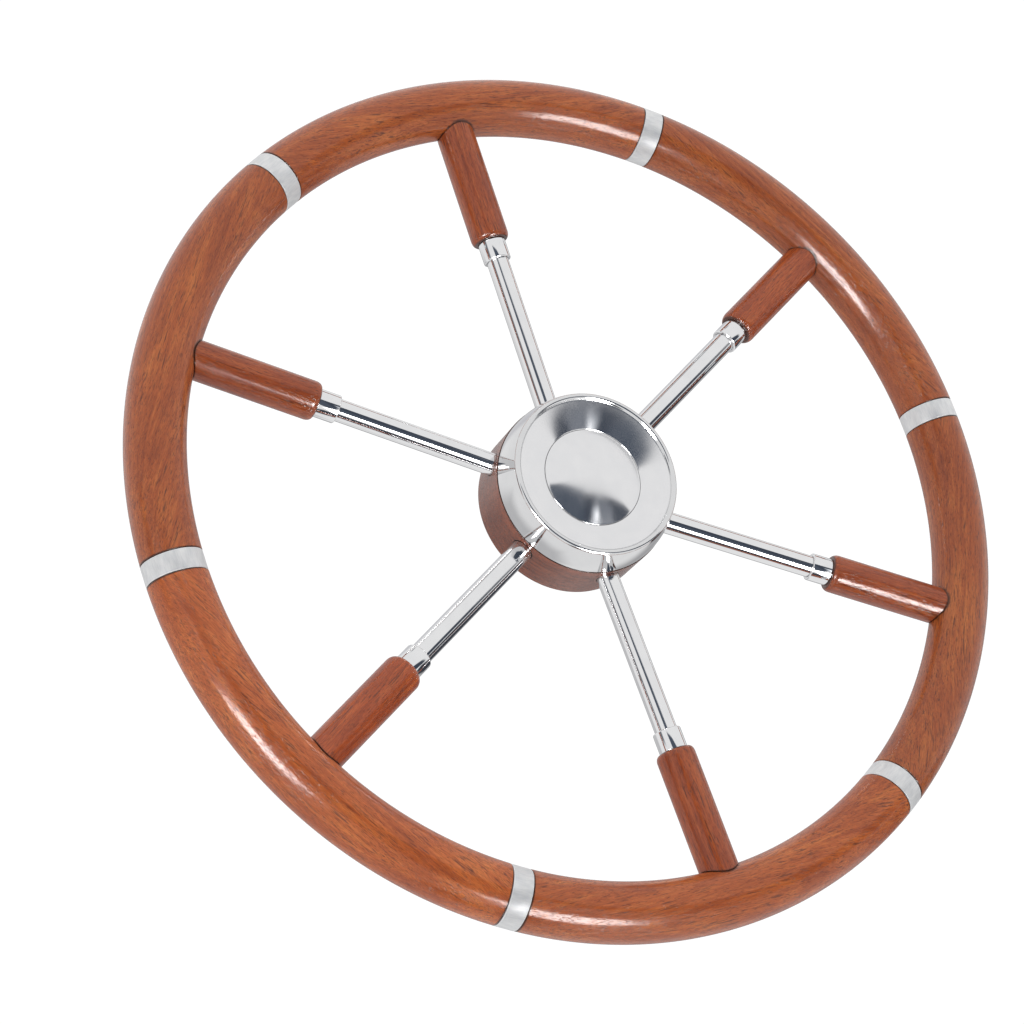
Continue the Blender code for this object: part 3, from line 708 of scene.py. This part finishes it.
def build_ferrule(number):
    """Polished collar with a rounded inner edge and a spigot inside the handle."""
    rod = ROD.outer + LINE_GAP
    shoulder = HANDLE.back - LINE_GAP
    outline = rounded([
        (FERRULE.back, TUBE.outer + LINE_GAP / 2.0),
        (FERRULE.back, FERRULE.outer, FERRULE_ROUND),
        (shoulder, FERRULE.outer, SHOULDER_ROUND),
        (shoulder, SPIGOT_RADIUS),
        (FERRULE.front, SPIGOT_RADIUS),
        (FERRULE.front, rod),
        (TUBE.front + LINE_GAP, rod),
        (TUBE.front + LINE_GAP, TUBE.outer + LINE_GAP / 2.0),
    ], FERRULE_STEPS)
    piece(f"ferrule_{number}", turned(f"ferrule_{number}", outline, SPOKE_SIDES), POLISHED, "wheel",
          f"spoke_ferrule_{number}", axis_matrix(*SPOKE_LINES[number]))


def build_tube(number):
    """Polished tube."""
    outline = [(TUBE.back, TUBE.inner)]
    for step in range(TUBE_STEPS + 1):
        outline.append((TUBE.back + (TUBE.front - TUBE.back) * step / TUBE_STEPS, TUBE.outer))
    outline.append((TUBE.front, TUBE.inner))
    piece(f"tube_{number}", turned(f"tube_{number}", outline, SPOKE_SIDES), POLISHED, "wheel",
          f"spoke_tube_{number}", axis_matrix(*SPOKE_LINES[number]))


for number in SPOKES:
    build_tube(number)
    build_ferrule(number)
    build_handle(number)


# -------- hub

HUB_SIDES = 192
HOLE_SIDES = 48
EDGE_ROUND = 0.0006
# Hub ring. Its wood is painted brighter near the steel: painted light on the front of the ring
RING_ROWS = 14
RING_SEED = 7
BORE_OVERSHOOT = 0.006
PAINTED_LIGHT_REACH = 0.009
PAINTED_LIGHT_GAIN = 0.5
# Shell: side, lip, dish and the walls behind them
SIDE_CURVE = 0.066
SIDE_STEPS = 24
LIP_RADIUS = 0.0023
LIP_STEPS = 20
LIP_END_DEGREES = 152.0
LIP_FOOT = 0.0006
FOOT_BEND = (0.85, 0.35)
FOOT_STEPS = 5
DISH_DEPTH = 0.0073
DISH_INNER_SLOPE = math.radians(19.8)
DISH_STEPS = 24
SEAT_LIP = 0.0002
SEAT_LENGTH = 0.004
SEAT_WALL = 0.0033
DISH_WALL = 0.0032
LIP_WALL = 0.0036
SKIRT_START = 0.0038
SHELL_WALL = 0.003
# Cap and seal
CAP_GROWTH = 0.00015
CAP_EDGE_ROUND = 0.0003
CAP_EDGE_STEPS = 6
CAP_WALL = 0.0022
SKIRT_WALL = 0.0042
CAP_CEILING = 0.002
CENTRE_MARK = 0.0003
MARK_EDGE = 0.0009
DOME_STEPS = 28
CEILING_STEPS = 16
GROOVE_SPARE = 0.0004
GROOVE_FLOOR = 0.0002
SEAL_SIDES = 128
SEAL_SECTION_SIDES = 16
# Flange, boss and screws. The bore's radius loses 1 in 24, a taper of 1 in 12
LEDGE = 0.003
LEDGE_ROUND = 0.0004
UPSTAND_ROUND = 0.0002
ARRIS = 0.0003
TAPER = 24.0
BORE_CHAMFER = 0.001
KEYWAY_TOP = 0.0114
KEYWAY_WIDTH = 0.0048
CUT_MARGIN = 0.002
ROD_BORE_SIDES = 32
SCREW_HEAD = 0.0046
SCREW_HEAD_EDGE = 0.0004
SCREW_HEAD_DEPTH = 0.0026
SCREW_SHANK = 0.0024
SCREW_POINT = 0.0020
SCREW_POINT_LENGTH = 0.0004
SCREW_ROUND = 0.0002
SCREW_GAP = 0.00035
SOCKET_FLAT = 0.0015
SOCKET_DEPTH = 0.0018
SOCKET_CHAMFER = 0.0003
HEXAGON_SIDE = math.radians(60.0)
HOLE_START = 0.004

FACE_FORWARD = axis_matrix(SHAFT, FORWARD, UP)


def bore_cutters(radius, start, end, sides=HOLE_SIDES):
    """One straight bore along each spoke's axis."""
    made = []
    for line in SPOKE_LINES.values():
        outline = [(start, 0.0), (start, radius), (end, radius), (end, 0.0)]
        mesh = turned("bore", outline, sides, closed=False)
        mesh.transform(axis_matrix(*line))
        made.append(mesh)
    return made


def shaft_turned(name, outline, sides=HUB_SIDES, closed=True):
    """A mesh turned about the shaft's axis."""
    mesh = turned(name, outline, sides, closed)
    mesh.transform(FACE_FORWARD)
    return mesh


def build_hub_ring():
    """Wooden ring, its outer edges softened, drilled for the six tubes."""
    size = HUB["hub_ring"]
    first = size.back + EDGE_ROUND * 2
    run = size.front - size.back - 4 * EDGE_ROUND
    side = [(first + run * row / RING_ROWS, size.outer) for row in range(RING_ROWS + 1)]
    outline = rounded([(size.back, size.inner), (size.back, size.outer, EDGE_ROUND), *side,
                       (size.front, size.outer, EDGE_ROUND / 2), (size.front, size.inner)])
    mesh = shaft_turned("hub_ring", outline)
    mesh = subtract(mesh, bore_cutters(TUBE.outer + LINE_GAP, size.inner - BORE_OVERSHOOT,
                                       size.outer + BORE_OVERSHOOT))
    # The board lies flat on the hub, so its layers show as lines that follow the ring's edges
    plank = Matrix.Rotation(QUARTER_TURN, 4, "X") @ Matrix.Rotation(-QUARTER_TURN / 2.0, 4, "Y")
    gaps = []
    tints = []
    for vert in mesh.vertices:
        # Painted light: the wood is made up to half again brighter towards the steel at its front
        behind_steel = (size.front + vert.co.y) / PAINTED_LIGHT_REACH
        tints.append(1.0 + PAINTED_LIGHT_GAIN * max(0.0, 1.0 - behind_steel))
        offsets = [vert.co - origin for origin, _ in SPOKE_LINES.values()]
        away = [(offset - offset.dot(direction) * direction).length
                for offset, (_, direction) in zip(offsets, SPOKE_LINES.values())
                if offset.dot(direction) > 0.0]
        gaps.append(max(0.0, min(min(away) - TUBE.outer, size.front + vert.co.y)))
    set_grain(mesh, plank, RING_SEED, tints, gaps)
    piece("hub_wood", mesh, HUB_WOOD, "wheel", "hub_ring")


def dish_profile(start, end):
    """The dish: steeper by the cap, flatter by the lip."""
    run = end[1] - start[1]
    slope = math.tan(DISH_INNER_SLOPE)
    bend = (slope * run - (end[0] - start[0])) / run ** 2
    points = []
    for step in range(DISH_STEPS + 1):
        out = run * step / DISH_STEPS
        points.append((start[0] + slope * out - bend * out * out, start[1] + out))
    return points


def build_shell():
    """Polished cup: curved side, rolled lip, dished front and the cap's seat."""
    size = HUB["hub_shell"]
    # The lip's centre lies so that it runs smoothly into the side's arc
    arc_middle = size.outer - SIDE_CURVE
    forward = size.front - LIP_RADIUS - size.back
    outward = math.sqrt((SIDE_CURVE - LIP_RADIUS) ** 2 - forward ** 2)
    lip_centre = (size.front - LIP_RADIUS, arc_middle + outward)
    start = math.degrees(math.atan2(forward, outward))
    rise = SIDE_CURVE * math.sin(math.radians(start))
    side = []
    for step in range(SIDE_STEPS + 1):
        along = rise * step / SIDE_STEPS
        side.append((size.back + along, arc_middle + math.sqrt(SIDE_CURVE ** 2 - along ** 2)))
    lip = []
    for step in range(1, LIP_STEPS + 1):
        turn = math.radians(start + (LIP_END_DEGREES - start) * step / LIP_STEPS)
        lip.append((lip_centre[0] + LIP_RADIUS * math.sin(turn),
                    lip_centre[1] + LIP_RADIUS * math.cos(turn)))
    # The lip runs out into the dish in a soft bend
    lip_end = lip[-1]
    dish_end = (lip_end[0] - LIP_FOOT, lip_end[1] - LIP_FOOT)
    foot = (lip_end[0] - LIP_FOOT * FOOT_BEND[0], lip_end[1] - LIP_FOOT * FOOT_BEND[1])
    for step in range(1, FOOT_STEPS):
        share = step / FOOT_STEPS
        lip.append(tuple((1 - share) ** 2 * a + 2 * share * (1 - share) * b + share ** 2 * c
                         for a, b, c in zip(lip_end, foot, dish_end)))
    dish_start = (size.front - DISH_DEPTH, size.inner + SEAT_LIP)
    dish = dish_profile(dish_start, dish_end)[::-1]
    outline = side + lip + dish + [
        (dish_start[0] - SEAT_LIP, size.inner),
        (size.front - DISH_DEPTH - SEAT_LENGTH, size.inner),
        (size.back + SKIRT_START, size.inner),
        (size.back + SKIRT_START, size.inner + SEAT_WALL),
        (dish_start[0] - DISH_WALL, size.inner + SEAT_WALL),
        (dish_end[0] - LIP_WALL, dish_end[1]),
        (size.back, size.outer - SHELL_WALL),
    ]
    made = piece("shell", shaft_turned("shell", outline), TURNED, "wheel", "hub_shell")
    made.data.materials.append(PRESSED)
    for face in made.data.polygons:
        if math.hypot(face.center.x, face.center.z) > dish_end[1]:
            face.material_index = 1


def dome_points(edge, apex, steps):
    """A spherical dome from its edge to its apex."""
    height = apex - edge[0]
    radius = (edge[1] ** 2 + height ** 2) / (2.0 * height)
    limit = math.asin(edge[1] / radius)
    points = []
    for step in range(steps + 1):
        angle = limit * (1.0 - step / steps)
        points.append((apex - radius * (1.0 - math.cos(angle)), max(radius * math.sin(angle), 0.0)))
    points[-1] = (apex, 0.0)
    return points


def build_cap():
    """Domed cap with a rounded edge and a grooved skirt."""
    size = HUB["centre_cap"]
    seal = HUB["cap_seal"]
    outer = size.outer + CAP_GROWTH
    edge_forward = HUB["hub_shell"].front - DISH_DEPTH - CAP_EDGE_ROUND
    edge = (edge_forward + CAP_EDGE_ROUND, outer - CAP_EDGE_ROUND)
    outside = [(size.front - CENTRE_MARK, 0.0)]
    dome = dome_points(edge, size.front, DOME_STEPS)[::-1]
    outside += [point for point in dome if point[1] > MARK_EDGE]
    round_edge = []
    for step in range(1, CAP_EDGE_STEPS):
        turn = QUARTER_TURN * step / CAP_EDGE_STEPS
        round_edge.append((edge_forward + CAP_EDGE_ROUND * math.cos(turn),
                           edge[1] + CAP_EDGE_ROUND * math.sin(turn)))
    groove_middle = (seal.front + seal.back) / 2.0
    groove = (seal.front - seal.back) / 2.0 + GROOVE_SPARE
    floor = seal.inner - GROOVE_FLOOR
    inside_edge = (edge_forward - CAP_CEILING, size.outer - SKIRT_WALL)
    inside = dome_points(inside_edge, size.front - CAP_WALL, CEILING_STEPS)
    outline = outside + round_edge + [
        (edge_forward, outer),
        (groove_middle + groove, outer),
        (groove_middle + groove, floor),
        (groove_middle - groove, floor),
        (groove_middle - groove, outer),
        (size.back, outer),
        (size.back, size.outer - SKIRT_WALL),
    ] + inside
    mesh = shaft_turned("cap", outline, closed=False)
    piece("cap_dome", mesh, TURNED, "cap", "centre_cap")


def build_seal():
    """Rubber ring in the cap's groove."""
    size = HUB["cap_seal"]
    section = (size.outer - size.inner) / 2.0
    outline = []
    for turn in turns(SEAL_SECTION_SIDES):
        outline.append(((size.back + size.front) / 2.0 + section * math.sin(turn),
                        (size.outer + size.inner) / 2.0 + section * math.cos(turn)))
    piece("seal", shaft_turned("seal", outline, SEAL_SIDES), RUBBER, "cap", "cap_seal")


def screw_places():
    """Each CAD screw's number, the centre of its head's face and its length."""
    places = []
    for number in (1, 2, 3):
        low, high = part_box(f"shell_screw_{number}")
        middle = (low + high) / 2.0
        places.append((number, Vector((middle.x, low.y, middle.z)), high.y - low.y))
    return places


def screw_holes():
    """Countersunk holes, from in front of the head's face to past the screw's end."""
    head = SCREW_HEAD + SCREW_GAP
    shank = SCREW_SHANK + SCREW_GAP
    made = []
    for _, top, length in screw_places():
        end = length + SCREW_GAP
        outline = [(-HOLE_START, 0.0), (-HOLE_START, head), (SCREW_HEAD_EDGE + SCREW_GAP, head),
                   (SCREW_HEAD_DEPTH + SCREW_GAP, shank), (end, shank), (end, 0.0)]
        mesh = turned("screw_hole", outline, HOLE_SIDES, closed=False)
        mesh.transform(axis_matrix(top, -FORWARD, UP))
        made.append(mesh)
    return made


def build_flange():
    """Flat ring with an upstand, countersunk for three screws."""
    size = HUB["shell_flange"]
    _, screw_top, _ = screw_places()[0]
    face = -screw_top.y
    ledge = HUB["centre_cap"].outer - LEDGE
    upstand = HUB["hub_shell"].inner - LINE_GAP
    outline = rounded([
        (size.back, size.inner), (size.back, size.outer), (face, size.outer), (face, upstand),
        (size.front, upstand, UPSTAND_ROUND), (size.front, ledge, LEDGE_ROUND), (face, ledge, ARRIS),
        (face, size.inner, LEDGE_ROUND),
    ])
    mesh = subtract(shaft_turned("flange", outline), screw_holes())
    piece("flange", mesh, MACHINED, "wheel", "shell_flange")


def build_boss():
    """Steel core: tapered bore, keyway, spoke sockets and screw holes."""
    size = HUB["hub_boss"]
    back_bore = SHAFT_MOUNT["dims"]["r_mm"] * MILLIMETRE
    depth = size.front
    outline = rounded([
        (0.0, back_bore + BORE_CHAMFER), (0.0, size.outer, EDGE_ROUND), (depth, size.outer, EDGE_ROUND),
        (depth, back_bore - depth / TAPER, ARRIS), (BORE_CHAMFER, back_bore - BORE_CHAMFER / TAPER),
    ])
    mesh = shaft_turned("boss", outline)
    slot = bmesh.new()
    bmesh.ops.create_cube(slot, size=1.0)
    inner = back_bore / 2.0
    scale = Matrix.Diagonal((KEYWAY_TOP - inner, depth + CUT_MARGIN, KEYWAY_WIDTH, 1.0))
    middle = Matrix.Translation(((KEYWAY_TOP + inner) / 2.0, -depth / 2.0, 0.0))
    bmesh.ops.transform(slot, matrix=middle @ scale, verts=slot.verts)
    cutters = [finish_mesh("keyway", slot)]
    cutters += bore_cutters(TUBE.outer + LINE_GAP, TUBE.back - LINE_GAP, size.outer + 2.0 * CUT_MARGIN)
    cutters += bore_cutters(ROD.outer + LINE_GAP, ROD.back - LINE_GAP, TUBE.back + CUT_MARGIN,
                            ROD_BORE_SIDES)
    cutters += screw_holes()
    piece("boss", subtract(mesh, cutters), MACHINED, "wheel", "hub_boss")


def screw_ring(distance, radius, hexagon=False):
    """Points about a screw's axis: a circle, or a hexagon with as many points."""
    ring = []
    for turn in turns(HOLE_SIDES):
        reach = radius
        if hexagon:
            reach = radius / math.cos((turn + HEXAGON_SIDE / 2.0) % HEXAGON_SIDE - HEXAGON_SIDE / 2.0)
        ring.append(Vector((distance, reach * math.cos(turn), reach * math.sin(turn))))
    return ring


def build_screws():
    """Countersunk socket screws."""
    for number, top, length in screw_places():
        rings = [
            screw_ring(SOCKET_DEPTH, SOCKET_FLAT, True),
            screw_ring(SCREW_ROUND, SOCKET_FLAT, True),
            screw_ring(0.0, SOCKET_FLAT + SOCKET_CHAMFER),
            screw_ring(0.0, SCREW_HEAD - SCREW_ROUND),
            screw_ring(SCREW_ROUND, SCREW_HEAD),
            screw_ring(SCREW_HEAD_EDGE, SCREW_HEAD),
            screw_ring(SCREW_HEAD_DEPTH, SCREW_SHANK),
            screw_ring(length - SCREW_POINT_LENGTH, SCREW_SHANK),
            screw_ring(length, SCREW_POINT),
        ]
        piece(f"screw_{number}", loft(f"screw_{number}", rings), MACHINED, "wheel",
              f"shell_screw_{number}", axis_matrix(top, -FORWARD, UP))


build_hub_ring()
build_shell()
build_cap()
build_seal()
build_flange()
build_boss()
build_screws()

# The rods and dowels keep their CAD shape and get a finish only
for number in SPOKES:
    for node, material in ((f"spoke_rod_{number}", MACHINED), (f"rim_dowel_{number}", DOWEL_WOOD)):
        shown = frame["nodes"][node]
        shown.data.materials.clear()
        shown.data.materials.append(material)


# -------- studio

WHEEL_CENTRE = Vector((0.0, RIM_PLANE, 0.0))
CAMERA_PLACE = Vector((-0.7651, -1.4045, -0.4311))
CAMERA_ROLL = math.radians(19.677)
CAMERA_AIM_RIGHT = 0.0041
CAMERA_AIM_UP = -0.0402
LENS = 86.71
SENSOR = 36.0
SHIFT = (-0.0749, 0.0358)
CLIP = (0.05, 60.0)
AIM_ROUNDS = 8
FLOOR_HEIGHT = -1.75
FLOOR_REACH = 40.0


def look_along(place_from, direction, roll):
    """A camera matrix. Roll leans the camera's up towards its right."""
    forward = direction.normalized()
    level_right = forward.cross(UP).normalized()
    level_up = level_right.cross(forward)
    up = math.cos(roll) * level_up + math.sin(roll) * level_right
    right = math.cos(roll) * level_right - math.sin(roll) * level_up
    matrix = Matrix((right, up, -forward)).transposed().to_4x4()
    matrix.translation = place_from
    return matrix


def build_camera():
    """The camera looks up at the wheel from the helmsman's lower left."""
    data = bpy.data.cameras.new("camera")
    data.lens = LENS
    data.sensor_width = SENSOR
    data.shift_x, data.shift_y = SHIFT
    data.clip_start, data.clip_end = CLIP
    camera = bpy.data.objects.new("camera", data)
    bpy.context.scene.collection.objects.link(camera)
    direction = WHEEL_CENTRE - CAMERA_PLACE
    # The aim is offset along the camera's own axes, which turn with it, so it is found in rounds
    for _ in range(AIM_ROUNDS):
        axes = look_along(CAMERA_PLACE, direction, CAMERA_ROLL).to_3x3()
        target = WHEEL_CENTRE + axes.col[0] * CAMERA_AIM_RIGHT + axes.col[1] * CAMERA_AIM_UP
        direction = target - CAMERA_PLACE
    camera.matrix_world = look_along(CAMERA_PLACE, direction, CAMERA_ROLL)
    bpy.context.scene.camera = camera


def toward(azimuth, elevation):
    """A direction. Azimuth 0 is in front of the wheel and 90 to its right, as a helmsman sees it."""
    a = math.radians(azimuth)
    e = math.radians(elevation)
    return Vector((math.sin(a) * math.cos(e), -math.cos(a) * math.cos(e), math.sin(e)))


# What the wheel reflects beside the plain tent: the light there, how soft the edge is in degrees,
# and the corners of a convex outline as directions (azimuth, elevation). Later ones lie over earlier ones.
PATCHES = {
    "behind_dim": ((0.45, 0.45, 0.46), 12.0,
                   ((115, 30), (115, -12), (150, -25), (190, -10), (185, 26), (150, 34))),
    "side_dim": ((0.66, 0.66, 0.67), 8.0, ((-170, 20), (-172, -36), (-148, -44), (-130, -26), (-130, 16))),
    "back_light": ((0.72, 0.72, 0.75), 6.0, ((148, 34), (176, 30), (180, 62), (146, 66))),
    "front_dark": ((0.090, 0.110, 0.146), 1.2,
                   ((-31, 19), (-24, -18), (-8, -40), (4, -36), (20, -6), (9, 4), (-6, 14))),
    "front_right_dark": ((0.060, 0.073, 0.100), 1.2,
                         ((8, 2), (4, -31), (30, -31), (66, -32), (66, -21), (49, -11), (35, -6))),
    "front_glow": ((0.24, 0.26, 0.30), 3.0, ((23, -8), (35, -13), (35, -30), (22, -30))),
    "front_spot": ((1.00, 1.04, 1.10), 2.5, ((14.5, -13), (20.5, -13), (22, -25), (13, -25))),
    "front_spot_middle": ((3.0, 3.0, 3.0), 1.0, ((16.5, -18.5), (19.5, -18.5), (19.5, -21.5), (16, -21.5))),
    "key": ((33.0, 33.0, 33.0), 2.5, ((-14, -45), (4, -42), (18, -42), (22, -57), (0, -65), (-19, -65))),
    "right_dark": ((0.055, 0.060, 0.075), 2.0,
                   ((64, -19), (96, -20), (128, -8), (134, -18), (104, -36), (66, -33))),
    "low_dark": ((0.060, 0.065, 0.080), 3.0,
                 ((-20, -66), (-39, -59), (-78, -58), (-125, -58), (-122, -76), (-60, -84))),
    "left_dark": ((0.200, 0.210, 0.230), 4.0, ((-91, 10), (-91, 30), (-70, 30), (-70, 10))),
    "high_dark": ((0.250, 0.260, 0.280), 1.5, ((10, 79), (26, 79), (24, 73), (11, 73))),
    "left_light": ((40.0, 40.0, 40.0), 3.0, ((-63, -8), (-41, -8), (-41, -23), (-63, -25))),
}
TENT_LIGHT = (1.02, 1.02, 1.02)
SEEN_WHITE = (1.05, 1.05, 1.05)


def build_world():
    """A light tent with softly edged openings. The camera itself sees plain white."""
    world = bpy.data.worlds.new("tent")
    tent = NodeTree(world)
    direction = tent.node("ShaderNodeTexCoord").outputs["Generated"]
    light = TENT_LIGHT
    for colour, softness, corners in PATCHES.values():
        places = [toward(azimuth, elevation) for azimuth, elevation in corners]
        middle = sum(places, Vector()).normalized()
        outside = None
        for index, here in enumerate(places):
            edge = places[index - 1].cross(here).normalized()
            if edge.dot(middle) > 0.0:
                edge = -edge
            made = tent.node("ShaderNodeVectorMath", {0: direction, 1: edge}, operation="DOT_PRODUCT")
            distance = made.outputs["Value"]
            outside = distance if outside is None else tent.maths("MAXIMUM", outside, distance)
        soft = math.sin(math.radians(softness))
        light = tent.mix(tent.fade(outside, -soft, soft), light, colour)
    seen = tent.node("ShaderNodeLightPath").outputs["Is Camera Ray"]
    tent.end_inputs("Background", {"Color": tent.mix(seen, light, SEEN_WHITE)})
    bpy.context.scene.world = world


def build_floor():
    """Plain pale floor, well below the wheel on its shaft."""
    bm = bmesh.new()
    bmesh.ops.create_grid(bm, x_segments=1, y_segments=1, size=FLOOR_REACH)
    mesh = bpy.data.meshes.new("floor")
    bm.to_mesh(mesh)
    bm.free()
    shader = Shader("pale_floor")
    mottle = shader.noise(shader.object_place(), 2.0)
    colour = shader.ramp(mottle, (0.3, (0.895, 0.895, 0.892)), (0.7, (0.915, 0.915, 0.912)))
    mesh.materials.append(shader.finish({"Base Color": colour, "Roughness": 0.75}))
    floor = bpy.data.objects.new("floor", mesh)
    floor.location.z = FLOOR_HEIGHT
    floor.visible_glossy = False
    bpy.context.scene.collection.objects.link(floor)


build_camera()
build_world()
build_floor()
scene_view = bpy.context.scene.view_settings
scene_view.view_transform = "Standard"
scene_view.look = "None"
bpy.context.scene.cycles.use_denoising = True
